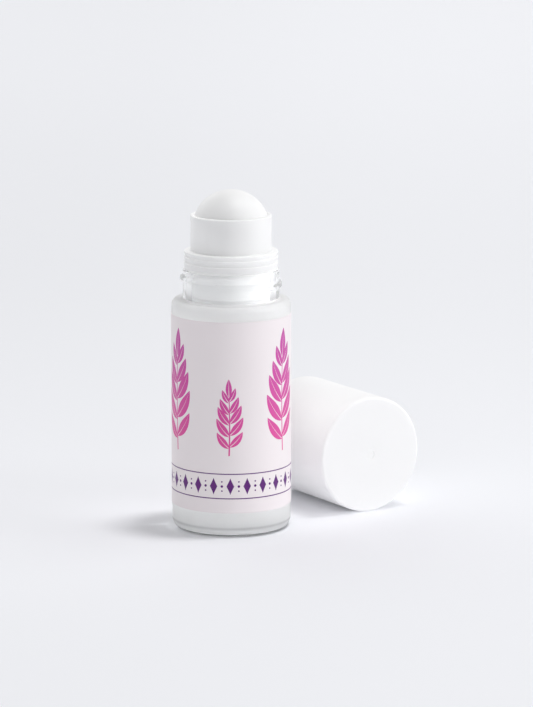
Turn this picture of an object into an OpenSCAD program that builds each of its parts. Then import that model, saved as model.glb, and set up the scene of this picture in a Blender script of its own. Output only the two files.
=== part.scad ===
// Roll on bottle: a frosted glass bottle with a ball applicator pressed into its neck, a wrap
// label, and a screw cap that is off the bottle and lies on its side next to it.
// Millimetres. +Z is up. The origin is on the bottle's axis, on the surface that it stands on.

/* [Bottle body] */
// Outside diameter of the glass body
body_d = 39.2; // [38:0.1:44]
// Height of the flat of the shoulder above the surface that the bottle stands on
shoulder_h = 76.3; // [60:0.1:100]
// Thickness of the glass in the wall
glass_wall = 2.8; // [2:0.1:3.2]
// Thickness of the glass at the edge of the base
base_t = 3; // [2.4:0.1:6]
// Thickness of the glass under the flat of the shoulder
shoulder_t = 3; // [2.4:0.1:4]
// Radius of the heel, where the wall rolls into the base
heel_r = 3; // [1.2:0.1:4]
// Radius of the corner of the shoulder
shoulder_r = 1.8; // [1:0.1:2.6]
// Radius of the corners inside the glass
inside_r = 2.2; // [1:0.1:3]
// Width of the flat ring that the bottle stands on
rest_ring_w = 3; // [2:0.1:6]
// Depth of the hollow under the base
push_up = 0.8; // [0.4:0.1:1.2]

/* [Bottle neck] */
// Outside diameter of the neck between the threads
neck_d = 31.8; // [31:0.1:32.4]
// Height of the neck above the flat of the shoulder
neck_h = 9.9; // [9:0.1:14]
// Diameter of the bore of the neck
neck_bore_d = 26; // [25:0.1:27]
// Radius of the rounded lip, and of the fillet at the root of the neck
lip_r = 0.6; // [0.3:0.05:1]
// How far the thread stands out of the neck
thread_h = 0.83; // [0.6:0.01:1.1]
// Width of the thread at its root
thread_w = 2.4; // [1.8:0.1:3]
// Width of the thread at its crest
thread_crest_w = 0.9; // [0.6:0.1:1.4]
// Rise of the thread in one turn
thread_pitch = 4.2; // [3.6:0.1:4.6]
// Height of the middle of the thread's low end above the flat of the shoulder
thread_low = 4; // [3.6:0.1:5]
// Turn of the thread round the neck, in degrees
thread_sweep = 378; // [360:1:420]
// Direction of the thread's low end, in degrees from +X
thread_from = -112; // [-180:1:180]

/* [Label] */
// Thickness of the label
label_t = 0.15; // [0.1:0.01:0.3]
// Thickness of the adhesive between label and glass
glue_t = 0.02; // [0.01:0.01:0.05]
// Height of the label's lower edge above the surface that the bottle stands on
label_low = 8.3; // [5:0.1:12]
// Distance from the label's upper edge up to the flat of the shoulder
label_below_shoulder = 4.6; // [2.8:0.1:20]
// Gap between the two ends of the label, measured round the bottle
label_gap = 1.6; // [0.5:0.1:6]
// Direction of that gap, in degrees from +X
label_gap_at = 146; // [0:1:359]

/* [Roller] */
// Diameter of the ball
ball_d = 25.4; // [24:0.1:26]
// Clearance all round the ball in its socket
ball_gap = 0.1; // [0.06:0.01:0.2]
// How far the middle of the ball lies below the rim of the cup
ball_below_rim = 4.5; // [3.5:0.1:5.5]
// Thickness of the cup's wall where the ball is widest
cup_wall = 0.5; // [0.4:0.05:1]
// Height of the cup above the flange
cup_h = 11.75; // [10.5:0.05:13]
// How far the edge of the flange stays inside the edge of the neck that it sits on
flange_inset = 0.5; // [0.1:0.05:1]
// Height of the flange
flange_h = 6.1; // [5:0.1:7.5]
// Depth of the grooves between the ridges of the flange
flange_groove = 0.35; // [0.2:0.05:0.5]
// Width of the feed hole under the ball, as a share of the ball's diameter
feed_share = 0.725; // [0.55:0.005:0.755]
// Length of the plug that is pressed into the neck
plug_len = 12; // [8:0.1:13]
// Thickness of the wall of the plug
plug_wall = 1.5; // [1:0.1:2]
// Height of the sealing beads on the plug
plug_bead = 0.25; // [0.15:0.05:0.4]
// Clearance between the sealing beads and the bore of the neck
plug_fit = 0.03; // [0.01:0.01:0.08]

/* [Cap shell] */
// Outside diameter of the cap
cap_d = 39.1; // [38.9:0.1:44]
// Thickness of the wall of the shell
cap_wall = 1.2; // [0.8:0.05:1.2]
// Thickness of the closed end of the shell
cap_end_t = 1.5; // [1:0.1:2.5]
// Radius of the outer edge of the closed end
cap_edge_r = 0.9; // [0.4:0.1:1]
// Diameter of the moulding mark in the middle of the closed end
gate_d = 3.2; // [2:0.1:5]
// Depth of the moulding mark
gate_deep = 0.25; // [0.1:0.05:0.5]

/* [Cap liner] */
// Thickness of the walls of the liner
liner_wall = 1.15; // [0.8:0.05:1.15]
// How far the liner's open end lies inside the shell's
liner_inset = 0.6; // [0.3:0.1:1.5]
// Clearance between the liner's collars and the shell
liner_fit = 0.05; // [0.02:0.01:0.1]
// Clearance between the liner's thread and the neck
thread_gap = 0.2; // [0.1:0.05:0.3]
// Clearance between the liner's step and the top of the flange
step_gap = 0.7; // [0.4:0.1:1.4]
// Clearance between the narrow part of the liner and the cup
cup_gap = 0.9; // [0.4:0.1:1.4]
// Clearance between the top of the ball and the liner's crown when the cap is on
crown_gap = 1.3; // [0.8:0.1:2]
// Distance from the liner's crown up to the closed end of the shell
crown_to_end = 2.4; // [0.5:0.1:8]
// Radius of the sealing ring that presses on the ball
seal_r = 7; // [5:0.1:8.5]
// Thickness of the sealing ring
seal_t = 1; // [0.6:0.1:1.4]

/* [Where the cap lies] */
// Clearance between the side of the cap and the label
cap_beside = 9.9; // [4:0.1:40]
// How far the cap's closed end stands in front of the bottle's axis
cap_forward = 9.1; // [-20:0.1:40]
// Clearance between the shoulder and the cap when it is screwed on
cap_seat_gap = 0.3; // [0.2:0.05:0.6]

/* [Hidden] */
$fn = 96;
// How far a cut runs past the face that it opens
past = 0.5;
body_r = body_d / 2;
neck_r = neck_d / 2;
bore_r = neck_bore_d / 2;
cavity_r = body_r - glass_wall;
lip_z = shoulder_h + neck_h;
rest_ring_in_r = body_r - heel_r - rest_ring_w;
push_up_r = (rest_ring_in_r * rest_ring_in_r + push_up * push_up) / (2 * push_up);
// How deep the thread's root is sunk in the wall that carries it, and the steps along it
thread_sink = 0.3;
thread_step = 7;
thread_fade = 28;

label_in_r = body_r + glue_t;
label_out_r = label_in_r + label_t;
label_gap_turn = label_gap / label_out_r * 180 / PI;
label_h = shoulder_h - label_below_shoulder - label_low;

ball_r = ball_d / 2;
socket_r = ball_r + ball_gap;
feed_r = feed_share * ball_r;
cup_r = socket_r + cup_wall;
flange_r = neck_r - flange_inset;
flange_z = lip_z + flange_h;
rim_z = flange_z + cup_h;
ball_z = rim_z - ball_below_rim;
mouth_r = sqrt(socket_r * socket_r - ball_below_rim * ball_below_rim);
feed_z = ball_z - sqrt(socket_r * socket_r - feed_r * feed_r);
plug_r = bore_r - plug_fit - plug_bead;
plug_in_r = bore_r - plug_fit - plug_wall;
plug_z = lip_z - plug_len;
// Heights of the grooves in the flange, their widths and the plug's beads, as shares
groove_at_shares = [0.05, 0.4, 0.73];
groove_w_shares = [0.1, 0.19, 0.1];
bead_at_shares = [0.28, 0.72];
// Radius of the rounded edges of the roller's moulding and of the cap's open end
roller_edge = 0.3;
rim_edge_r = 0.3;

cap_r = cap_d / 2;
shell_in_r = cap_r - cap_wall;
// Height of the open end of the cap above the bottle's base when it is screwed on
cap_on_z = shoulder_h + cap_seat_gap;
liner_root_r = neck_r + thread_h + thread_gap;
liner_crest_r = neck_r + thread_gap;
liner_narrow_r = cup_r + cup_gap;
liner_step_at = flange_z + step_gap - cap_on_z;
liner_step_z = liner_step_at + liner_wall;
crown_z = ball_z + ball_r + crown_gap - cap_on_z;
liner_top_z = crown_z + liner_wall + crown_to_end;
cap_len = liner_top_z + cap_end_t;
// The sealing ring ends this far short of the ball when the cap is on
seal_gap = 0.2;
seal_in_r = seal_r - seal_t / 2;
seal_low_z = ball_z + sqrt(ball_r * ball_r - seal_in_r * seal_in_r) - cap_on_z + seal_gap;
collar_w = 2;
// The liner's thread runs half a pitch below the neck's. It starts this much further round, and
// goes once round
liner_thread_turn = 60;
liner_thread_sweep = 360;
liner_thread_low = thread_low - cap_seat_gap - thread_pitch / 2 + thread_pitch * liner_thread_turn / 360;
cap_x = label_out_r + cap_beside + cap_r;
cap_open_y = cap_len - cap_forward;

// A solid of revolution's half profile from the axis out to r, with rounded outer corners
module turned(r, low, high, low_round, high_round) {
    translate([0, low + low_round])
        square([r, high - low - low_round - high_round]);
    translate([0, low])
        square([r - low_round, high - low - high_round]);
    translate([0, low + low_round])
        square([r - high_round, high - low - low_round]);
    translate([r - low_round, low + low_round])
        circle(low_round);
    translate([r - high_round, high - high_round])
        circle(high_round);
}

// The fillet of radius f in the corner between a wall at r and a face at z
module root_fillet(r, z, f) {
    difference() {
        translate([r - f, z - f])
            square(2 * f);
        translate([r + f, z + f])
            circle(f);
    }
}

// One section of a thread at its angle: stands out of the wall by full times its height
function thread_section(wall_r, stand, root_w, crest_w, full) =
    let (
        side = sign(stand),
        inner = wall_r - side * thread_sink,
        outer = inner + side * (thread_sink / 2 + (abs(stand) + thread_sink / 2) * full),
        half = [root_w / 2, crest_w / 2],
        points = [[inner, -half[0]], [outer, -half[1]], [outer, half[1]], [inner, half[0]]]
    )
    side > 0 ? points : [points[3], points[2], points[1], points[0]];

// How fully the thread stands at a turn t of its sweep: it fades in and out at its ends
function thread_full(t, sweep) =
    let (edge = min(t, sweep - t) / thread_fade)
    edge >= 1 ? 1 : (1 - cos(180 * edge)) / 2;

// A screw thread on a wall: stand is positive outside a neck and negative inside a liner
module thread(wall_r, stand, root_w, crest_w, low, from, sweep) {
    steps = ceil(sweep / thread_step);
    turns = [for (i = [0 : steps]) sweep * i / steps];
    points = [
        for (t = turns)
            for (p = thread_section(wall_r, stand, root_w, crest_w, thread_full(t, sweep)))
                [p[0] * cos(from + t), p[0] * sin(from + t), low + thread_pitch * t / 360 + p[1]]
    ];
    sides = [
        for (i = [0 : steps - 1])
            for (j = [0 : 3])
                for (face = [
                    [4 * i + j, 4 * i + (j + 1) % 4, 4 * i + 4 + j],
                    [4 * i + (j + 1) % 4, 4 * i + 4 + (j + 1) % 4, 4 * i + 4 + j]
                ])
                    face
    ];
    ends = [
        [0, 2, 1],
        [0, 3, 2],
        [4 * steps, 4 * steps + 1, 4 * steps + 2],
        [4 * steps, 4 * steps + 2, 4 * steps + 3]
    ];
    polyhedron(points = points, faces = concat(sides, ends));
}

// The hollow inside the glass: a round-cornered tank that opens into the bore of the neck
module bottle_cavity() {
    rotate_extrude() {
        turned(cavity_r, base_t, shoulder_h - shoulder_t, inside_r, inside_r);
        translate([0, base_t + inside_r])
            square([bore_r, lip_z - base_t - inside_r + past]);
    }
}

// The moulded glass bottle with its threaded neck and hollowed base
module bottle() {
    color([0.86, 0.89, 0.9, 0.6])
        difference() {
            union() {
                rotate_extrude() {
                    turned(body_r, 0, shoulder_h, heel_r, shoulder_r);
                    turned(neck_r, shoulder_h - shoulder_t, lip_z, lip_r, lip_r);
                    root_fillet(neck_r, shoulder_h, lip_r);
                }
                thread(neck_r, thread_h, thread_w, thread_crest_w, shoulder_h + thread_low,
                       thread_from, thread_sweep);
            }
            bottle_cavity();
            translate([0, 0, push_up - push_up_r])
                sphere(push_up_r);
        }
}

// The film label, wrapped round the body with its two ends almost meeting
module wrap_label() {
    color([0.95, 0.92, 0.94])
        rotate([0, 0, label_gap_at + label_gap_turn / 2])
            translate([0, 0, label_low])
                rotate_extrude(angle = 360 - label_gap_turn)
                    translate([label_in_r, 0])
                        square([label_t, label_h]);
}

// The flange's grooves, cut round its outside
module flange_grooves() {
    for (i = [0 : len(groove_at_shares) - 1])
        translate([flange_r - flange_groove, lip_z + groove_at_shares[i] * flange_h])
            square([flange_groove + past, groove_w_shares[i] * flange_h]);
}

// The moulding that holds the ball: cup, ridged flange, and the plug in the neck
module roller_housing() {
    color([0.95, 0.95, 0.96])
        difference() {
            rotate_extrude()
                difference() {
                    union() {
                        turned(cup_r, lip_z, rim_z, roller_edge, roller_edge);
                        turned(flange_r, lip_z, flange_z, roller_edge, roller_edge);
                        turned(plug_r, plug_z, flange_z, roller_edge, roller_edge);
                        for (share = bead_at_shares)
                            translate([plug_r - plug_bead, plug_z + share * plug_len])
                                circle(2 * plug_bead);
                    }
                    flange_grooves();
                    translate([0, plug_z - past])
                        square([plug_in_r, feed_z - plug_z - plug_wall + past]);
                    translate([0, plug_z - past])
                        square([feed_r, ball_z - plug_z + past]);
                    translate([0, ball_z])
                        square([mouth_r, rim_z - ball_z + past]);
                }
            translate([0, 0, ball_z])
                sphere(socket_r);
        }
}

// The ball
module roller_ball() {
    color([0.97, 0.97, 0.98])
        translate([0, 0, ball_z])
            sphere(ball_r);
}

// Lays a piece of the cap, drawn upright with its open end at z = 0, on its side
module laid_down() {
    translate([cap_x, cap_open_y, cap_r])
        rotate([90, 0, 0])
            children();
}

// The smooth outside of the cap
module cap_shell() {
    color([0.98, 0.98, 0.985])
        laid_down()
            difference() {
                rotate_extrude()
                    turned(cap_r, 0, cap_len, rim_edge_r, cap_edge_r);
                translate([0, 0, -past])
                    cylinder(r = shell_in_r, h = cap_len - cap_end_t + past);
                translate([0, 0, cap_len - gate_deep])
                    cylinder(d = gate_d, h = gate_deep + past);
            }
}

// The inside of the cap: threaded skirt, step, crown and sealing ring
module cap_liner() {
    color([0.93, 0.94, 0.95])
        laid_down() {
            rotate_extrude() {
                difference() {
                    union() {
                        translate([0, liner_inset])
                            square([liner_root_r + liner_wall, liner_step_z - liner_inset]);
                        for (collar_z = [liner_inset, liner_step_z - collar_w])
                            translate([0, collar_z])
                                square([shell_in_r - liner_fit, collar_w]);
                        translate([0, liner_step_at])
                            square([liner_narrow_r + liner_wall, crown_z + liner_wall - liner_step_at]);
                    }
                    translate([0, -past])
                        square([liner_root_r, liner_step_at + past]);
                    translate([0, liner_step_at - past])
                        square([liner_narrow_r, crown_z - liner_step_at + past]);
                }
                translate([seal_in_r, seal_low_z])
                    square([seal_t, liner_top_z - seal_low_z]);
            }
            thread(liner_root_r, liner_crest_r - liner_root_r, thread_w, thread_crest_w,
                   liner_thread_low, thread_from + liner_thread_turn, liner_thread_sweep);
        }
}

bottle();
wrap_label();
roller_housing();
roller_ball();
cap_shell();
cap_liner();
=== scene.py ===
import math

import bmesh
import bpy
from mathutils import Matrix, Vector


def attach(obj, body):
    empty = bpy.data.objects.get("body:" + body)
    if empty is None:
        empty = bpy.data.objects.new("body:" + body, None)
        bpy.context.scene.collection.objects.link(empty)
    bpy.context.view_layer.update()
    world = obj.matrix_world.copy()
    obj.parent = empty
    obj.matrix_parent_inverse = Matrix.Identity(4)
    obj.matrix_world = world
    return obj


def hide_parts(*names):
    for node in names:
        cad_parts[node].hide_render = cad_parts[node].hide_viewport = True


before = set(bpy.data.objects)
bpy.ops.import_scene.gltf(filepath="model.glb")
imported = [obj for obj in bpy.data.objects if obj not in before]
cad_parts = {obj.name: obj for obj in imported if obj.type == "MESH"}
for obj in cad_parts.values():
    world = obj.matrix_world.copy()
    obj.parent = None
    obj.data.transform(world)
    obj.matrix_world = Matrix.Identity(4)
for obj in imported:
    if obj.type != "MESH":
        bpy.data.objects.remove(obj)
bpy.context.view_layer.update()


# The glass bottle. One moulding of clear glass with a threaded neck, a thick base with a shallow hollow
# under it, and a fire-polished lip. The body is etched to a fine frost from the heel to the shoulder, and
# the neck above it is left clear. Everything else is carried by it.
mm = 0.001
body_r = 19.6
shoulder_z = 76.3
lip_z = 86.2
neck_r = 15.9
bore_r = 13.0
tank_r = 16.8
tank_low = 3.0
tank_high = 73.3
heel_round = 3.0
shoulder_round = 1.8
neck_round = 0.6
lip_bore_round = 0.35
bore_foot_round = 0.7
tank_round = 2.2
ring_in_r = 13.6
ring_round = 0.3
push_up = 0.8
hollow_r = ring_in_r * 0.97
hollow_edge_z = 0.05
hollow_rows = 11
etched_to = 77.5
tank_margin = 0.5
thread_low_z = shoulder_z + 4.0
thread_pitch = 4.2
thread_stand = 0.83
thread_foot_half = 1.25
thread_flank = 0.85
thread_from = -112.0
thread_sweep = 378.0
thread_run_out = 28.0
thread_margin = 0.75
thread_rows = 60
wall_slack = 0.01
on_axis = 1e-4
edge_hold = 1.15
round_steps = 288


def rounded(corners, closed, arc_steps=8):
    """The outline through corners (r, z, rounding), with an arc at each.

    One more point close before and after each arc keeps the flats beside it looking flat.
    """
    outline = []
    for i, (r, z, rounding) in enumerate(corners):
        here = Vector((r, z))
        if rounding == 0 or (not closed and i in (0, len(corners) - 1)):
            outline.append(here)
            continue
        before = (Vector(corners[i - 1][:2]) - here).normalized()
        after = (Vector(corners[(i + 1) % len(corners)][:2]) - here).normalized()
        half = before.angle(after) / 2
        reach = rounding / math.tan(half)
        centre = here + (before + after).normalized() * rounding / math.sin(half)
        start = here + before * reach - centre
        end = here + after * reach - centre
        turn = start.angle(end)
        outline.append(here + before * reach * edge_hold)
        for k in range(arc_steps + 1):
            share = k / arc_steps
            mixed = start * math.sin((1 - share) * turn) + end * math.sin(share * turn)
            outline.append(centre + mixed / math.sin(turn))
        outline.append(here + after * reach * edge_hold)
    return outline


def finish_mesh(name, verts, faces, material):
    """A smooth closed mesh object, its faces turned outwards, in the frame of the part."""
    mesh = bpy.data.meshes.new(name)
    mesh.from_pydata([[c * mm for c in v] for v in verts], [], faces)
    work = bmesh.new()
    work.from_mesh(mesh)
    bmesh.ops.recalc_face_normals(work, faces=work.faces)
    work.to_mesh(mesh)
    work.free()
    mesh.shade_smooth()
    mesh.materials.append(material)
    piece = bpy.data.objects.new(name, mesh)
    bpy.context.scene.collection.objects.link(piece)
    return piece


def turned(name, outline, material, ring, swell=None, begin=0.0, sweep=360.0, steps=round_steps):
    """The outline (r, z) turned about Z.

    A ring's outline closes on itself. Any other starts and ends on the axis.
    """
    whole = sweep >= 360.0
    count = steps if whole else steps + 1
    verts, faces, rows = [], [], []
    for r, z in outline:
        if r < on_axis:
            rows.append([len(verts)] * count)
            verts.append((0, 0, z))
            continue
        row = []
        for k in range(count):
            angle = math.radians(begin + sweep * k / steps)
            out = r + (swell(math.degrees(angle), r, z) if swell else 0)
            row.append(len(verts))
            verts.append((out * math.cos(angle), out * math.sin(angle), z))
        rows.append(row)
    for i in range(len(rows) if ring else len(rows) - 1):
        low, high = rows[i], rows[(i + 1) % len(rows)]
        for k in range(steps):
            m = (k + 1) % count
            corners = []
            for v in (low[k], low[m], high[m], high[k]):
                if v not in corners:
                    corners.append(v)
            if len(corners) > 2:
                faces.append(corners)
    if not whole:
        faces.append([row[0] for row in rows])
        faces.append([row[-1] for row in reversed(rows)])
    return finish_mesh(name, verts, faces, material)


def thread_ridge(angle, z, low_z, start, sweep):
    """How fully a thread stands at a direction and height, from 0 beside it to 1 on its crest."""
    fullest = 0.0
    for lap in (-1, 0, 1, 2):
        along = (angle - start) + 360.0 * lap
        if not 0.0 < along < sweep:
            continue
        off = abs(z - low_z - thread_pitch * along / 360.0)
        across = min(1.0, max(0.0, (thread_foot_half - off) / thread_flank))
        ends = min(1.0, min(along, sweep - along) / thread_run_out)
        fullest = max(fullest, across * across * (3 - 2 * across) * ends * ends * (3 - 2 * ends))
    return fullest


def add_node(tree, kind, values=None, **settings):
    """A node of this kind with its settings and socket values."""
    node = tree.nodes.new(kind)
    for setting, value in settings.items():
        setattr(node, setting, value)
    for socket, value in (values or {}).items():
        node.inputs[socket].default_value = value
    return node


def principled(name, values):
    """A new material, its node tree, its Principled shader with these plain values, and its coordinates."""
    made = bpy.data.materials.new(name)
    made.use_nodes = True
    shader = made.node_tree.nodes["Principled BSDF"]
    for socket, value in values.items():
        shader.inputs[socket].default_value = value
    place = add_node(made.node_tree, "ShaderNodeTexCoord")
    return made, made.node_tree, shader, place


def moulded_skin():
    """The fine grain and slow waviness of a moulded surface, as a group: Grain and Waves are per metre."""
    group = bpy.data.node_groups.new("moulded skin", "ShaderNodeTree")
    for name, kind in (("Vector", "Vector"), ("Grain", "Float"), ("Waves", "Float")):
        group.interface.new_socket(name, in_out="INPUT", socket_type="NodeSocket" + kind)
    for name in ("Height", "Mottle"):
        group.interface.new_socket(name, in_out="OUTPUT", socket_type="NodeSocketFloat")
    given = add_node(group, "NodeGroupInput")
    put = add_node(group, "NodeGroupOutput")
    fine = add_node(group, "ShaderNodeTexNoise", {"Detail": 3.0, "Roughness": 0.6})
    slow = add_node(group, "ShaderNodeTexNoise", {"Detail": 2.0, "Roughness": 0.5})
    fine_share = 0.25
    both = add_node(group, "ShaderNodeMath", {1: fine_share}, operation="MULTIPLY_ADD")
    group.links.new(given.outputs["Vector"], fine.inputs["Vector"])
    group.links.new(given.outputs["Vector"], slow.inputs["Vector"])
    group.links.new(given.outputs["Grain"], fine.inputs["Scale"])
    group.links.new(given.outputs["Waves"], slow.inputs["Scale"])
    group.links.new(fine.outputs["Fac"], both.inputs[0])
    group.links.new(slow.outputs["Fac"], both.inputs[2])
    group.links.new(both.outputs[0], put.inputs["Height"])
    group.links.new(slow.outputs["Fac"], put.inputs["Mottle"])
    return group


skin_group = moulded_skin()
mottle_low = 0.3
mottle_high = 0.7


def skin_on(tree, shader, place, grain, waves, depth, rough_low, rough_high):
    """Puts the moulded skin on a material: its grain as a bump this deep in mm, its mottle as roughness."""
    skin = add_node(tree, "ShaderNodeGroup", node_tree=skin_group)
    skin.inputs["Grain"].default_value = grain
    skin.inputs["Waves"].default_value = waves
    bump = add_node(tree, "ShaderNodeBump", {"Strength": 1.0, "Distance": depth * mm})
    rough = add_node(tree, "ShaderNodeMapRange", {
        "From Min": mottle_low, "From Max": mottle_high, "To Min": rough_low, "To Max": rough_high})
    tree.links.new(place.outputs["Object"], skin.inputs["Vector"])
    tree.links.new(skin.outputs["Height"], bump.inputs["Height"])
    tree.links.new(bump.outputs["Normal"], shader.inputs["Normal"])
    tree.links.new(skin.outputs["Mottle"], rough.inputs["Value"])
    tree.links.new(rough.outputs["Result"], shader.inputs["Roughness"])
    return skin.outputs["Mottle"]


def height_share(tree, place, low_z, high_z, low_share=0.0, high_share=1.0):
    """A value that climbs from one share at a height in mm to another share at a height above it."""
    part = add_node(tree, "ShaderNodeSeparateXYZ")
    climb = add_node(tree, "ShaderNodeMapRange", {
        "From Min": low_z * mm, "From Max": high_z * mm, "To Min": low_share, "To Max": high_share})
    tree.links.new(place.outputs["Object"], part.inputs[0])
    tree.links.new(part.outputs["Z"], climb.inputs["Value"])
    return climb.outputs["Result"]


def colour_ramp(tree, stops):
    """A colour ramp through these stops: for each its place from 0 to 1 and its colour."""
    ramp = add_node(tree, "ShaderNodeValToRGB")
    while len(ramp.color_ramp.elements) < len(stops):
        ramp.color_ramp.elements.new(0.5)
    for stop, (at, colour) in zip(ramp.color_ramp.elements, stops):
        stop.position = at
        stop.color = (*colour, 1)
    return ramp


def tinted(level, tint):
    """This tint at a level of brightness."""
    return [level * channel for channel in tint]


foot_low_z = 3.0
foot_high_z = 8.0


def lamps_through(tree, shader, place, low_share, high_share, surfaces):
    """Lets lamp light through a piece into what it holds: one share at its foot, another higher up.

    The light stops once it has met this many surfaces, so that the table keeps its shadows.
    """
    ray = add_node(tree, "ShaderNodeLightPath")
    share = height_share(tree, place, foot_low_z, foot_high_z, low_share, high_share)
    near = add_node(tree, "ShaderNodeMath", {1: surfaces - 0.5}, operation="LESS_THAN")
    let_in = add_node(tree, "ShaderNodeMath", operation="MULTIPLY")
    clear = add_node(tree, "ShaderNodeBsdfTransparent")
    either = add_node(tree, "ShaderNodeMixShader")
    tree.links.new(ray.outputs["Transparent Depth"], near.inputs[0])
    tree.links.new(share, let_in.inputs[0])
    tree.links.new(near.outputs[0], let_in.inputs[1])
    tree.links.new(let_in.outputs[0], clear.inputs["Color"])
    tree.links.new(ray.outputs["Is Shadow Ray"], either.inputs[0])
    tree.links.new(shader.outputs[0], either.inputs[1])
    tree.links.new(clear.outputs[0], either.inputs[2])
    tree.links.new(either.outputs[0], tree.nodes["Material Output"].inputs["Surface"])


etched_glass, tree, shader, place = principled("etched glass", {
    "IOR": 1.5,
    "Metallic": 0.0,
    "Transmission Weight": 0.5,
    "Subsurface Weight": 1.0,
    "Subsurface Radius": (1.0, 1.0, 1.0),
    "Subsurface Scale": 3.0 * mm,
})
skin_on(tree, shader, place, grain=7000.0, waves=160.0, depth=0.004, rough_low=0.5, rough_high=0.62)
lamps_through(tree, shader, place, low_share=0.0, high_share=0.95, surfaces=3)

frost_tint = (0.987, 0.993, 1.0)
frost_top = 8.3
# The frost keeps its own pale tint. Painted shade darkens it towards the foot, adds a darker line 2.9 mm up,
# and turns it nearly black on the underside of the heel, where the contact shadow falls on the table.
frost_and_painted_shade_bands = ((0.0, 0.05), (0.45, 0.15), (0.9, 1.0), (2.2, 0.85), (2.9, 0.6), (3.6, 0.9), (frost_top, 0.99))
climb = height_share(tree, place, 0.0, frost_top)
frost_and_painted_shade = colour_ramp(tree, [(band_z / frost_top, tinted(level, frost_tint)) for band_z, level in frost_and_painted_shade_bands])
tree.links.new(climb, frost_and_painted_shade.inputs["Fac"])
tree.links.new(frost_and_painted_shade.outputs["Color"], shader.inputs["Base Color"])

clear_glass, tree, shader, place = principled("clear glass", {
    "Base Color": (0.985, 0.99, 0.99, 1),
    "IOR": 1.15,
    "Metallic": 0.0,
    "Transmission Weight": 0.78,
    "Coat Weight": 0.4,
    "Coat IOR": 1.5,
})
skin_on(tree, shader, place, grain=90.0, waves=60.0, depth=0.006, rough_low=0.0, rough_high=0.02)
lamps_through(tree, shader, place, low_share=0.0, high_share=0.85, surfaces=4)

dome_r = (ring_in_r ** 2 + push_up ** 2) / (2 * push_up)
hollow = []
for k in range(hollow_rows + 1):
    r = hollow_r * k / hollow_rows
    hollow.append(Vector((r, push_up - dome_r + math.sqrt(dome_r ** 2 - r ** 2))))
outside_and_tank = rounded([
    (hollow_r, hollow_edge_z, 0),
    (ring_in_r, 0, ring_round),
    (body_r, 0, heel_round),
    (body_r, shoulder_z, shoulder_round),
    (neck_r, shoulder_z, neck_round),
    (neck_r, lip_z, neck_round),
    (bore_r, lip_z, lip_bore_round),
    (bore_r, tank_high, bore_foot_round),
    (tank_r, tank_high, tank_round),
    (tank_r, tank_low, tank_round),
    (0, tank_low, 0),
], closed=False)[1:]
neck_foot = Vector((neck_r, shoulder_z + neck_round * edge_hold))
neck_from = shoulder_z + thread_margin
neck_to = lip_z - thread_margin
wound = []
for point in outside_and_tank:
    wound.append(point)
    if (point - neck_foot).length < wall_slack:
        for k in range(thread_rows + 1):
            wound.append(Vector((neck_r, neck_from + (neck_to - neck_from) * k / thread_rows)))


def neck_thread(angle, r, z):
    """How far the glass stands out of the neck at this place."""
    if abs(r - neck_r) > wall_slack or z < neck_from or z > neck_to:
        return 0.0
    return thread_stand * thread_ridge(angle, z, thread_low_z, thread_from, thread_sweep)


glass_bottle = turned("glass_bottle", hollow + wound, clear_glass, ring=False, swell=neck_thread)
glass_bottle.data.materials.append(etched_glass)
for face in glass_bottle.data.polygons:
    x, y, z = face.center / mm
    r = math.hypot(x, y)
    outside = r > tank_r + tank_margin or z > tank_high + tank_margin
    if outside and r > neck_r and z < etched_to:
        face.material_index = 1
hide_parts("bottle")
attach(glass_bottle, "bottle_body")


# The label. One strip of satin film, very pale pink, wrapped round the straight wall of the glass with its
# two ends almost meeting behind. It is printed in two inks: a short magenta sprig between two tall ones in
# front and a tall one behind, over a purple band of lozenges and dots between two thin rules.
label_in_r = 19.62
label_out_r = 19.77
label_low = 8.3
label_high = 71.7
label_gap = 1.6
label_gap_at = 146.0
label_middle = label_gap_at - 180.0
film_round = 0.03
film_back_round = 0.02
ink_sunk = 0.004
ink_stand = 0.012

film, tree, shader, place = principled("label film", {
    "Base Color": (0.876, 0.818, 0.838, 1),
    "IOR": 1.46,
    "Specular IOR Level": 0.35,
})
skin_on(tree, shader, place, grain=5200.0, waves=90.0, depth=0.003, rough_low=0.42, rough_high=0.5)
lamps_through(tree, shader, place, low_share=0.95, high_share=0.95, surfaces=4)

gap_turn = math.degrees(label_gap / label_out_r)
outline = rounded([
    (label_in_r, label_low, film_back_round),
    (label_out_r, label_low, film_round),
    (label_out_r, label_high, film_round),
    (label_in_r, label_high, film_back_round),
], closed=True, arc_steps=3)
film_label = turned("film_label", outline, film, ring=True,
                    begin=label_gap_at + gap_turn / 2, sweep=360.0 - gap_turn)
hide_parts("wrap_label")
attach(film_label, "bottle_body")


def inked(name, shapes, material):
    """Flat shapes of ink on the label.

    Each shape is a path (s, z) in mm, its widths to the left and right of it, and its strips across.
    """
    verts, faces = [], []
    for path, lefts, rights, across in shapes:
        first = len(verts)
        for layer_r in (label_out_r - ink_sunk, label_out_r + ink_stand):
            for i, here in enumerate(path):
                ahead = path[min(i + 1, len(path) - 1)] - path[max(i - 1, 0)]
                side = Vector((ahead[1], -ahead[0])).normalized()
                for j in range(across + 1):
                    s, z = here + side * (-lefts[i] + (lefts[i] + rights[i]) * j / across)
                    angle = math.radians(label_middle) + s / label_out_r
                    verts.append((layer_r * math.cos(angle), layer_r * math.sin(angle), z))
        rows, wide = len(path), across + 1
        top = rows * wide
        for i in range(rows - 1):
            for j in range(across):
                a, b = i * wide + j, i * wide + j + 1
                c, d = (i + 1) * wide + j + 1, (i + 1) * wide + j
                faces.append([first + v for v in (a, b, c, d)])
                faces.append([first + top + v for v in (d, c, b, a)])
        edge = list(range(wide))
        edge += [i * wide + across for i in range(1, rows)]
        edge += [(rows - 1) * wide + j for j in range(across - 1, -1, -1)]
        edge += [i * wide for i in range(rows - 2, 0, -1)]
        for a, b in zip(edge, edge[1:] + edge[:1]):
            faces.append([first + b, first + a, first + top + a, first + top + b])
    piece = finish_mesh(name, verts, faces, material)
    piece.data.shade_flat()
    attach(piece, "bottle_body")


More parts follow.
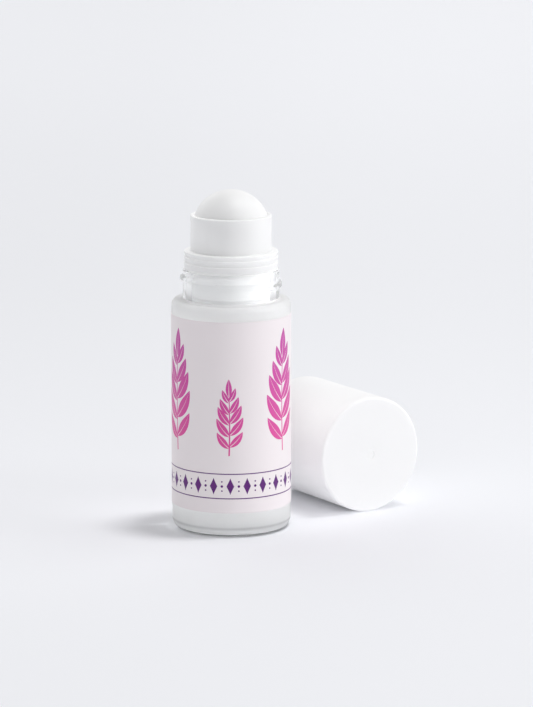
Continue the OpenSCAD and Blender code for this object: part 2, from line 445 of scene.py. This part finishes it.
def stroke(start, heading, bend, length, left, right, steps, across=3):
    """A tapering shape along a bent path: left and right give its widths at each share of its length."""
    path, here = [], Vector(start)
    for i in range(steps + 1):
        path.append(here.copy())
        way = heading + bend * i / steps
        here += Vector((math.sin(way), math.cos(way))) * length / steps
    shares = [i / steps for i in range(steps + 1)]
    return path, [left(t) for t in shares], [right(t) for t in shares], across


leaf_rows = 26
leaf_point_half = 0.02
leaf_slim = 0.34
leaf_belly = 0.85
leaf_fullness = 0.9
leaf_curl = 0.5
vein_half = 0.11
vein_point_half = 0.012
pair_sizes = (0.27, 0.3, 0.29, 0.25, 0.2)
pairs_from = 0.16
pairs_over = 0.76
pair_spread = 0.98
pair_closing = 0.32
stem_rows = 40
stem_share = 0.78
stem_foot_half = 0.26
stem_taper = 0.12
tip_share = 0.24
tip_wide = 0.08
tip_bend = 0.05


def leaf(at, heading, bend, length, width):
    """An almond leaf in two halves, with a bare vein between them that closes towards the point."""
    def half(t):
        return leaf_point_half + width / 2 * math.sin(math.pi * t ** leaf_belly) ** leaf_fullness

    def vein(t):
        return -vein_half * (1 - t) - vein_point_half

    return [
        stroke(at, heading, bend, length, half, vein, leaf_rows),
        stroke(at, heading, bend, length, vein, half, leaf_rows),
    ]


def sprig(middle, foot, height, lean):
    """A stem with five pairs of open leaves and one at its tip, largest a third of the way up."""
    def stem_half(t):
        return stem_foot_half - stem_taper * t

    stem = stroke((middle, foot), -lean / 2, lean, height * stem_share,
                  stem_half, stem_half, stem_rows, across=1)
    shapes = [stem]
    for k, pair_size in enumerate(pair_sizes):
        share = pairs_from + pairs_over * k / (len(pair_sizes) - 1)
        way = -lean / 2 + lean * share
        size = height * pair_size
        for side in (-1, 1):
            at = stem[0][round(stem_rows * share) - (1 if side < 0 else 0)]
            spread = side * (pair_spread - pair_closing * share)
            shapes += leaf(at, way + spread, -side * leaf_curl, size, size * leaf_slim)
    shapes += leaf(stem[0][-1], lean / 2, tip_bend, height * tip_share, height * tip_wide)
    return shapes


def ink(name):
    """A new glossy ink as principled gives it, with the mottle of its skin."""
    made, tree, shader, place = principled(name, {"IOR": 1.5, "Specular IOR Level": 0.4})
    mottle = skin_on(tree, shader, place,
                     grain=5200.0, waves=300.0, depth=0.002, rough_low=0.34, rough_high=0.44)
    return made, tree, shader, place, mottle


magenta, tree, shader, place, mottle = ink("magenta ink")
pink_z = 26.0
deep_z = 66.0
unevenness = 0.12
climb = height_share(tree, place, pink_z, deep_z)
uneven = add_node(tree, "ShaderNodeMath", {1: unevenness}, operation="MULTIPLY_ADD")
tones = colour_ramp(tree, ((unevenness / 2, (0.76, 0.07, 0.33)), (1.0, (0.56, 0.07, 0.38))))
tree.links.new(mottle, uneven.inputs[0])
tree.links.new(climb, uneven.inputs[2])
tree.links.new(uneven.outputs[0], tones.inputs["Fac"])
tree.links.new(tones.outputs["Color"], shader.inputs["Base Color"])

sprig_apart = math.radians(60.0) * label_out_r
sprig_foot = 27.5
sprigs = []
for places_along, height, lean in (
    (-2.5, 40.0, 0.1),
    (-1.5, 25.0, -0.08),
    (-0.5, 40.0, 0.1),
    (1.5, 40.0, 0.1),
):
    sprigs += sprig(places_along * sprig_apart, sprig_foot, height, lean)
inked("magenta_sprigs", sprigs, magenta)

purple, tree, shader, place, mottle = ink("purple ink")
tones = colour_ramp(tree, ((mottle_low, (0.095, 0.006, 0.16)), (mottle_high, (0.125, 0.009, 0.19))))
tree.links.new(mottle, tones.inputs["Fac"])
tree.links.new(tones.outputs["Color"], shader.inputs["Base Color"])

band_low = 13.2
band_high = 21.4
band_middle = (band_low + band_high) / 2
band_run = math.pi * 2 * label_out_r - label_gap
rule_margin = 0.8
rule_half = 0.17
rule_rows = 240
lozenges = 22
lozenge_high = 5.5
lozenge_wide = 2.5
lozenge_point_half = 0.02
lozenge_slimness = 1.15
lozenge_rows = 16
lozenge_step = band_run / lozenges
dot_apart = 1.55
large_dot_r = 0.42
small_dot_r = 0.26
dot_point_half = 0.01
dot_rows = 12
band = []
for rule_z in (band_low, band_high):
    rule_from = -band_run / 2 + rule_margin
    rule_run = band_run - 2 * rule_margin
    path = [Vector((rule_from + rule_run * k / rule_rows, rule_z)) for k in range(rule_rows + 1)]
    widths = [rule_half] * len(path)
    band.append((path, widths, widths, 1))
for k in range(lozenges):
    s = -band_run / 2 + lozenge_step * (k + 0.5)
    path, widths = [], []
    for i in range(lozenge_rows + 1):
        path.append(Vector((s, band_middle - lozenge_high / 2 + lozenge_high * i / lozenge_rows)))
        fullness = (1 - abs(2 * i / lozenge_rows - 1)) ** lozenge_slimness
        widths.append(lozenge_point_half + lozenge_wide / 2 * fullness)
    band.append((path, widths, widths, 4))
    if k == lozenges - 1:
        break
    dot_s = s + lozenge_step / 2
    for up, dot_r in ((-dot_apart, small_dot_r), (0, large_dot_r), (dot_apart, small_dot_r)):
        dot_z = band_middle + up
        angles = [math.pi * i / dot_rows for i in range(dot_rows + 1)]
        path = [Vector((dot_s, dot_z - dot_r * math.cos(angle))) for angle in angles]
        widths = [dot_point_half + dot_r * math.sin(angle) for angle in angles]
        band.append((path, widths, widths, 3))
inked("purple_band", band, purple)


# The roller's housing. One moulding of natural white polyethylene, slightly translucent: a thin cup that
# snaps over the ball, a ridged flange that stops on the lip of the glass, and a plug with two sealing
# beads that is pressed into the bore of the neck. Liquid reaches the ball through the hole in its seat.
rim_z = 104.05
ball_z = 99.55
cup_r = 13.3
socket_r = 12.8
mouth_r = 11.983
mouth_land = 0.25
flange_r = 15.4
flange_top = 92.3
flange_foot = lip_z + 0.02
feed_r = 9.2075
feed_z = 90.658
seat_thick = 1.5
plug_r = 12.72
plug_in_r = 11.47
plug_low = 74.2
groove_in_r = flange_r - 0.35
groove_spans = ((91.263, 90.653), (89.799, 88.64), (87.115, 86.505))
groove_round = 0.1
bead_zs = (82.84, 77.56)
bead_round = 0.5
bead_middle_r = plug_r - 0.25
bead_half_turn = 60
bead_rows = 8
socket_rows = 48

natural, tree, shader, place = principled("natural polyethylene", {
    "Base Color": (0.87, 0.87, 0.872, 1),
    "IOR": 1.51,
    "Specular IOR Level": 0.3,
    "Subsurface Weight": 1.0,
    "Subsurface Radius": (1.0, 1.0, 1.0),
    "Subsurface Scale": 0.8 * mm,
})
skin_on(tree, shader, place, grain=2600.0, waves=210.0, depth=0.006, rough_low=0.34, rough_high=0.46)
lamps_through(tree, shader, place, low_share=0.9, high_share=0.9, surfaces=4)

shell = [
    (mouth_r, rim_z, 0.2),
    (cup_r, rim_z, 0.25),
    (cup_r, flange_top, 0.3),
    (flange_r, flange_top, 0.3),
]
for groove_top, groove_low in groove_spans:
    shell += [(flange_r, groove_top, groove_round), (groove_in_r, groove_top, groove_round)]
    shell += [(groove_in_r, groove_low, groove_round), (flange_r, groove_low, groove_round)]
shell += [(flange_r, flange_foot, 0.12), (plug_r, flange_foot, 0.15)]
outline = rounded(shell, closed=False, arc_steps=5)
for bead_z in bead_zs:
    for k in range(bead_rows + 1):
        angle = math.radians(bead_half_turn - 2 * bead_half_turn * k / bead_rows)
        bead_r = bead_middle_r + bead_round * math.cos(angle)
        outline.append(Vector((bead_r, bead_z + bead_round * math.sin(angle))))
outline += rounded([
    (plug_r, bead_zs[1] - 1, 0),
    (plug_r, plug_low, 0.3),
    (plug_in_r, plug_low, 0.3),
    (plug_in_r, feed_z - seat_thick, 0.4),
    (feed_r, feed_z - seat_thick, 0.3),
    (feed_r, feed_z, 0),
], closed=False, arc_steps=5)
low_angle = math.asin((feed_z - ball_z) / socket_r)
high_angle = math.asin((rim_z - mouth_land - ball_z) / socket_r)
for k in range(1, socket_rows + 1):
    angle = low_angle + (high_angle - low_angle) * k / socket_rows
    outline.append(Vector((socket_r * math.cos(angle), ball_z + socket_r * math.sin(angle))))
ball_housing = turned("ball_housing", outline, natural, ring=True)
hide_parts("roller_housing")
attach(ball_housing, "bottle_body")


# The ball. A polished white polypropylene ball, one inch across. The mouth of the cup holds it, and it is
# free to roll on the seat below it.
ball_r = 12.7
ball_rows = 96
ball_steps = 192

polished, tree, shader, place = principled("polished polypropylene", {
    "Base Color": (0.85, 0.85, 0.852, 1),
    "IOR": 1.49,
    "Specular IOR Level": 0.25,
    "Subsurface Weight": 1.0,
    "Subsurface Radius": (1.0, 1.0, 1.0),
    "Subsurface Scale": 5.0 * mm,
})
skin_on(tree, shader, place, grain=1800.0, waves=240.0, depth=0.003, rough_low=0.38, rough_high=0.46)
lamps_through(tree, shader, place, low_share=0.9, high_share=0.9, surfaces=4)

arc = []
for k in range(ball_rows + 1):
    angle = math.pi * k / ball_rows
    arc.append(Vector((ball_r * math.sin(angle), ball_z - ball_r * math.cos(angle))))
arc[0][0] = arc[-1][0] = 0.0
applicator_ball = turned("applicator_ball", arc, polished, ring=False, steps=ball_steps)
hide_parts("roller_ball")
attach(applicator_ball, "ball")


# The cap's shell. A smooth white polypropylene cup with a softly rounded end and a small sunk gate mark in
# the middle of it. The cap is off and lies on its side next to the bottle, its closed end to the front.
cap_r = 19.55
cap_len = 42.0
cap_in_r = 18.35
cap_end = 1.5
cap_edge = 0.9
cap_mouth_round = 0.3
cap_inner_round = 0.6
gate_r = 1.6
gate_deep = 0.25
cap_x = 49.22
cap_open_y = 32.9
quarter_turn = Matrix.Rotation(math.pi / 2, 4, "X")
laid_down = Matrix.Translation((cap_x * mm, cap_open_y * mm, cap_r * mm)) @ quarter_turn

smooth_white, tree, shader, place = principled("smooth white polypropylene", {
    "Base Color": (0.915, 0.915, 0.921, 1),
    "IOR": 1.49,
    "Specular IOR Level": 0.35,
    "Subsurface Weight": 0.8,
    "Subsurface Radius": (1.0, 1.0, 1.0),
    "Subsurface Scale": 1.5 * mm,
})
skin_on(tree, shader, place, grain=2200.0, waves=130.0, depth=0.004, rough_low=0.38, rough_high=0.46)
lamps_through(tree, shader, place, low_share=0.75, high_share=0.75, surfaces=7)

outline = rounded([
    (0, cap_len - gate_deep, 0),
    (gate_r, cap_len - gate_deep, 0.12),
    (gate_r, cap_len, 0.1),
    (cap_r, cap_len, cap_edge),
    (cap_r, 0, cap_mouth_round),
    (cap_in_r, 0, cap_mouth_round),
    (cap_in_r, cap_len - cap_end, cap_inner_round),
    (0, cap_len - cap_end, 0),
], closed=False)
cap_outer = turned("cap_outer", outline, smooth_white, ring=False)
cap_outer.matrix_world = laid_down
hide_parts("cap_shell")
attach(cap_outer, "cap")


# The cap's liner. A second white moulding pressed into the shell: a threaded skirt between two collars, a
# step that clears the flange, and a crown whose ring presses the ball on its seat when the cap is on.
liner_root_r = 16.93
liner_crest_r = 16.1
liner_out_r = 18.08
collar_r = 18.3
collar_high = 2.0
liner_low = 0.6
step_in = 16.4
step_out = 17.55
narrow_r = 14.2
narrow_out_r = 15.35
crown_low = 36.95
crown_high = 38.1
seal_in_r = 6.5
seal_out_r = 7.5
seal_low = 34.06
seal_round = 0.25
stop_high = 40.48
stop_round = 0.2
liner_thread_low = 2.3
liner_thread_from = thread_from + 60.0
liner_thread_sweep = 360.0
liner_thread_margin = 0.45
skirt_margin = 0.5
skirt_rows = 84

liner_white, tree, shader, place = principled("natural polypropylene", {
    "Base Color": (0.9, 0.905, 0.91, 1),
    "IOR": 1.49,
    "Subsurface Weight": 0.4,
    "Subsurface Radius": (1.0, 1.0, 1.0),
    "Subsurface Scale": 1.5 * mm,
})
skin_on(tree, shader, place, grain=2600.0, waves=180.0, depth=0.005, rough_low=0.34, rough_high=0.44)
lamps_through(tree, shader, place, low_share=0.75, high_share=0.75, surfaces=7)

outline = rounded([
    (0, crown_low, 0),
    (seal_in_r, crown_low, seal_round),
    (seal_in_r, seal_low, seal_round),
    (seal_out_r, seal_low, seal_round),
    (seal_out_r, crown_low, seal_round),
    (narrow_r, crown_low, 0.5),
    (narrow_r, step_in, 0.4),
    (liner_root_r, step_in, 0.3),
    (liner_root_r, liner_low, 0),
], closed=False, arc_steps=5)[:-1]
skirt_run = step_in - liner_low - 2 * skirt_margin
for k in range(skirt_rows + 1):
    outline.append(Vector((liner_root_r, step_in - skirt_margin - skirt_run * k / skirt_rows)))
outline += rounded([
    (liner_root_r, liner_low + 1, 0),
    (liner_root_r, liner_low, 0.25),
    (collar_r, liner_low, 0.2),
    (collar_r, liner_low + collar_high, 0.1),
    (liner_out_r, liner_low + collar_high, 0.1),
    (liner_out_r, step_out - collar_high, 0.1),
    (collar_r, step_out - collar_high, 0.1),
    (collar_r, step_out, 0.2),
    (narrow_out_r, step_out, 0.3),
    (narrow_out_r, crown_high, 0.4),
    (seal_out_r, crown_high, stop_round),
    (seal_out_r, stop_high, stop_round),
    (seal_in_r, stop_high, stop_round),
    (seal_in_r, crown_high, stop_round),
    (0, crown_high, 0),
], closed=False, arc_steps=5)[1:]


def skirt_thread(angle, r, z):
    """How far the thread stands inwards from the skirt at this place."""
    in_reach = liner_low + liner_thread_margin <= z <= step_in - liner_thread_margin
    if abs(r - liner_root_r) > wall_slack or not in_reach:
        return 0.0
    ridge = thread_ridge(angle, z, liner_thread_low, liner_thread_from, liner_thread_sweep)
    return (liner_crest_r - liner_root_r) * ridge


cap_inner = turned("cap_inner", outline, liner_white, ring=False, swell=skirt_thread)
cap_inner.matrix_world = laid_down
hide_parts("cap_liner")
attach(cap_inner, "cap")


# The table and the studio: a pale table top with painted light, soft walls that are brightest behind on
# the left, a small lamp high above, two wide ones on the right, and a long lens that looks down a little.
photo_turn = math.radians(-32.3)
table_half = 6000.0
table_z = -0.05
table_tone = (0.89, 0.898, 0.932)
plain_tone = (1.0, 1.0, 1.0)
walls_seen = (0.85, 0.858, 0.885)


def in_studio(x, y, z):
    """A place in mm right of, behind and above the bottle as the camera sees it, in the part's frame."""
    return Matrix.Rotation(photo_turn, 3, "Z") @ Vector((x, y, z)) * mm


def towards(turn, rise):
    """The direction turned from the right towards the back, and raised, in degrees."""
    turn = math.radians(turn) + photo_turn
    rise = math.radians(rise)
    return Vector((math.cos(rise) * math.cos(turn), math.cos(rise) * math.sin(turn), math.sin(rise)))


table, tree, shader, place = principled("pale table top", {"Specular IOR Level": 0.2})
skin_on(tree, shader, place, grain=900.0, waves=4.0, depth=0.002, rough_low=0.75, rough_high=0.85)
# Painted light: the table top's colour is lighter towards the right, where the lamps are. It is brightest
# level with the bottle, a little darker in front, darker half a metre behind and lighter again further back.
painted_light_shades = []
for direction, near, beyond, tone, stops in (
    (towards(0, 0), -0.1, 0.1, table_tone, ((0.0, 0.965), (1.0, 1.0))),
    (towards(90, 0), -0.2, 1.4, plain_tone, ((0.0, 0.98), (0.12, 1.0), (0.45, 0.945), (1.0, 0.985))),
):
    along = add_node(tree, "ShaderNodeVectorMath", operation="DOT_PRODUCT")
    along.inputs[1].default_value = direction
    share = add_node(tree, "ShaderNodeMapRange", {"From Min": near, "From Max": beyond})
    painted_light_ramp = colour_ramp(tree, [(at, tinted(level, tone)) for at, level in stops])
    painted_light_ramp.color_ramp.interpolation = "EASE"
    tree.links.new(place.outputs["Object"], along.inputs[0])
    tree.links.new(along.outputs["Value"], share.inputs["Value"])
    tree.links.new(share.outputs["Result"], painted_light_ramp.inputs["Fac"])
    painted_light_shades.append(painted_light_ramp.outputs["Color"])
both = add_node(tree, "ShaderNodeVectorMath", operation="MULTIPLY")
tree.links.new(painted_light_shades[0], both.inputs[0])
tree.links.new(painted_light_shades[1], both.inputs[1])
tree.links.new(both.outputs[0], shader.inputs["Base Color"])
table_corners = [(x * table_half, y * table_half, table_z) for x, y in ((-1, -1), (1, -1), (1, 1), (-1, 1))]
floor = finish_mesh("table_top", table_corners, [[0, 1, 2, 3]], table)

scene = bpy.context.scene
world = bpy.data.worlds.new("studio walls")
scene.world = world
world.use_nodes = True
walls = world.node_tree
where = add_node(walls, "ShaderNodeTexCoord")
total = None
for direction, level, narrowing in ((towards(125, 10), 1.7, 2.0), (towards(-90, 10), 1.366, 4.0)):
    facing = add_node(walls, "ShaderNodeVectorMath", operation="DOT_PRODUCT")
    facing.inputs[1].default_value = direction
    ahead = add_node(walls, "ShaderNodeMath", {1: 0.0}, operation="MAXIMUM")
    narrowed = add_node(walls, "ShaderNodeMath", {1: narrowing}, operation="POWER")
    added = add_node(walls, "ShaderNodeMath", {1: level, 2: 0.0}, operation="MULTIPLY_ADD")
    walls.links.new(where.outputs["Generated"], facing.inputs[0])
    walls.links.new(facing.outputs["Value"], ahead.inputs[0])
    walls.links.new(ahead.outputs[0], narrowed.inputs[0])
    walls.links.new(narrowed.outputs[0], added.inputs[0])
    if total is not None:
        walls.links.new(total, added.inputs[2])
    total = added.outputs[0]
rays = add_node(walls, "ShaderNodeLightPath")
camera_or_gloss = add_node(walls, "ShaderNodeMath", operation="MAXIMUM")
plainly_seen = add_node(walls, "ShaderNodeMath", operation="MAXIMUM")
shown = add_node(walls, "ShaderNodeMix", data_type="RGBA")
shown.inputs[7].default_value = (*walls_seen, 1)
walls.links.new(rays.outputs["Is Camera Ray"], camera_or_gloss.inputs[0])
walls.links.new(rays.outputs["Is Glossy Ray"], camera_or_gloss.inputs[1])
walls.links.new(camera_or_gloss.outputs[0], plainly_seen.inputs[0])
walls.links.new(rays.outputs["Is Transmission Ray"], plainly_seen.inputs[1])
walls.links.new(plainly_seen.outputs[0], shown.inputs[0])
walls.links.new(total, shown.inputs[6])
walls.links.new(shown.outputs[2], walls.nodes["Background"].inputs["Color"])

lamps_away = 12.0
for name, turn, rise, half_wide, half_high, watts in (
    ("overhead lamp", 4.0, 77.0, 4.0, 6.0, 550.0),
    ("side lamp", 25.0, 55.0, 16.0, 16.0, 226.0),
    ("low lamp", -10.0, 8.0, 14.0, 14.0, 672.0),
):
    lamp = bpy.data.lights.new(name, "AREA")
    lamp.shape = "ELLIPSE"
    lamp.size = 2 * lamps_away * math.tan(math.radians(half_wide))
    lamp.size_y = 2 * lamps_away * math.tan(math.radians(half_high))
    lamp.energy = watts
    hung = bpy.data.objects.new(name, lamp)
    scene.collection.objects.link(hung)
    hung.location = towards(turn, rise) * lamps_away
    hung.rotation_mode = "QUATERNION"
    hung.rotation_quaternion = towards(turn, rise).to_track_quat("Z", "Y")

pitch = math.radians(11.08)
distance = 1316.66
aim = Vector((11.61, 0, 57.70))
focal_pixels = 4000.0
picture_pixels = 707.0
sensor = 36.0
lens = bpy.data.cameras.new("long lens")
lens.sensor_width = sensor
lens.lens = focal_pixels * sensor / picture_pixels
lens.clip_start = 0.05
lens.clip_end = 30.0
camera = bpy.data.objects.new("camera", lens)
scene.collection.objects.link(camera)
camera.location = in_studio(aim[0], -distance * math.cos(pitch), aim[2] + distance * math.sin(pitch))
camera.rotation_euler = (math.radians(90) - pitch, 0, photo_turn)
scene.camera = camera
scene.view_settings.view_transform = "Standard"
